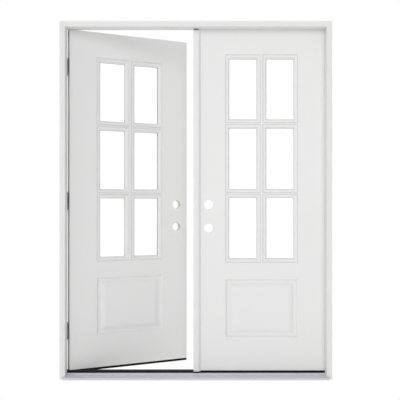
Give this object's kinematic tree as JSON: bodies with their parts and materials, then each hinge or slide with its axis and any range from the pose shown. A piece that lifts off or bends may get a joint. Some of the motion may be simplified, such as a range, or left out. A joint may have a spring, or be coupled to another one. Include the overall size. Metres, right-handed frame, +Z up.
{
  "type": "french doors",
  "caption": "Prehung double door unit: rabbeted frame, sill, two inward-swinging glazed leaves over raised panels, hinges, astragal and flush bolts.",
  "frame": {"origin": "underside of the sill, midway between the jambs, in the plane of the jambs' outside faces", "axes": "+X across the unit to the passive leaf's side seen from outside, +Y from the outside to the inside, +Z up"},
  "size_m": [1.581, 0.4784, 2.0765],
  "materials": {
    "primed_frame": "primed white wood, satin",
    "primed_skin": "moulded fibreglass skin, white primer, satin",
    "primed_lite_frame": "moulded glazing frame, white primer, satin",
    "primed_astragal": "white coated astragal, satin",
    "clear_glass": "clear float glass",
    "spacer_aluminium": "white spacer and bars between the panes",
    "stile_wood": "laminated wood, primed white",
    "core_foam": "rigid insulating foam",
    "sill_substrate": "composite sill substrate",
    "mill_aluminium": "satin anodised sill deck",
    "black_cap": "black threshold cap",
    "foam_seal": "white foam bulb weatherstrip",
    "black_rubber": "black sweep and pads",
    "satin_nickel": "satin nickel plated steel"
  },
  "bodies": {
    "door_frame": {"left_jamb": "primed_frame", "right_jamb": "primed_frame", "head_jamb": "primed_frame", "sill_base": "sill_substrate", "sill_deck": "mill_aluminium", "threshold_cap": "black_cap", "left_weatherstrip": "foam_seal", "right_weatherstrip": "foam_seal", "head_weatherstrip": "foam_seal", "corner_pads": "black_rubber", "astragal_pads": "black_rubber", "bolt_strikes": "satin_nickel", "jamb_hinge_screws": "satin_nickel", "active_hinge_pins": "satin_nickel", "active_bottom_hinge_jamb_leaf": "satin_nickel", "active_middle_hinge_jamb_leaf": "satin_nickel", "active_top_hinge_jamb_leaf": "satin_nickel", "passive_hinge_pins": "satin_nickel", "passive_bottom_hinge_jamb_leaf": "satin_nickel", "passive_middle_hinge_jamb_leaf": "satin_nickel", "passive_top_hinge_jamb_leaf": "satin_nickel"},
    "active_door": {"active_exterior_skin": "primed_skin", "active_interior_skin": "primed_skin", "active_exterior_lite_frame": "primed_lite_frame", "active_interior_lite_frame": "primed_lite_frame", "active_outer_pane": "clear_glass", "active_inner_pane": "clear_glass", "active_glass_spacer": "spacer_aluminium", "active_hinge_stile": "stile_wood", "active_lock_stile": "stile_wood", "active_top_rail": "stile_wood", "active_bottom_rail": "stile_wood", "active_foam_core": "core_foam", "active_sweep": "black_rubber", "active_hinge_screws": "satin_nickel", "active_bottom_hinge_door_leaf": "satin_nickel", "active_middle_hinge_door_leaf": "satin_nickel", "active_top_hinge_door_leaf": "satin_nickel"},
    "passive_door": {"astragal": "primed_astragal", "astragal_seal": "foam_seal", "bolt_guides": "satin_nickel", "passive_exterior_skin": "primed_skin", "passive_interior_skin": "primed_skin", "passive_exterior_lite_frame": "primed_lite_frame", "passive_interior_lite_frame": "primed_lite_frame", "passive_outer_pane": "clear_glass", "passive_inner_pane": "clear_glass", "passive_glass_spacer": "spacer_aluminium", "passive_hinge_stile": "stile_wood", "passive_lock_stile": "stile_wood", "passive_top_rail": "stile_wood", "passive_bottom_rail": "stile_wood", "passive_foam_core": "core_foam", "passive_sweep": "black_rubber", "passive_hinge_screws": "satin_nickel", "passive_bottom_hinge_door_leaf": "satin_nickel", "passive_middle_hinge_door_leaf": "satin_nickel", "passive_top_hinge_door_leaf": "satin_nickel"},
    "upper_bolt": {"top_bolt": "satin_nickel"},
    "lower_bolt": {"bottom_bolt": "satin_nickel"}
  },
  "joints": [
    {"name": "active_swing", "type": "hinge", "parent": "door_frame", "child": "active_door", "pos_m": [-0.7699, 0.1226, 1.04], "axis": [0, 0, 1], "range_deg": [-26, 144]},
    {"name": "passive_swing", "type": "hinge", "parent": "door_frame", "child": "passive_door", "pos_m": [0.7699, 0.1226, 1.04], "axis": [0, 0, -1], "range_deg": [0, 170]},
    {"name": "top_bolt_slide", "type": "slide", "parent": "passive_door", "child": "upper_bolt", "axis": [0, 0, 1], "range_m": [0, 0.02]},
    {"name": "bottom_bolt_slide", "type": "slide", "parent": "passive_door", "child": "lower_bolt", "axis": [0, 0, -1], "range_m": [0, 0.02]}
  ]
}
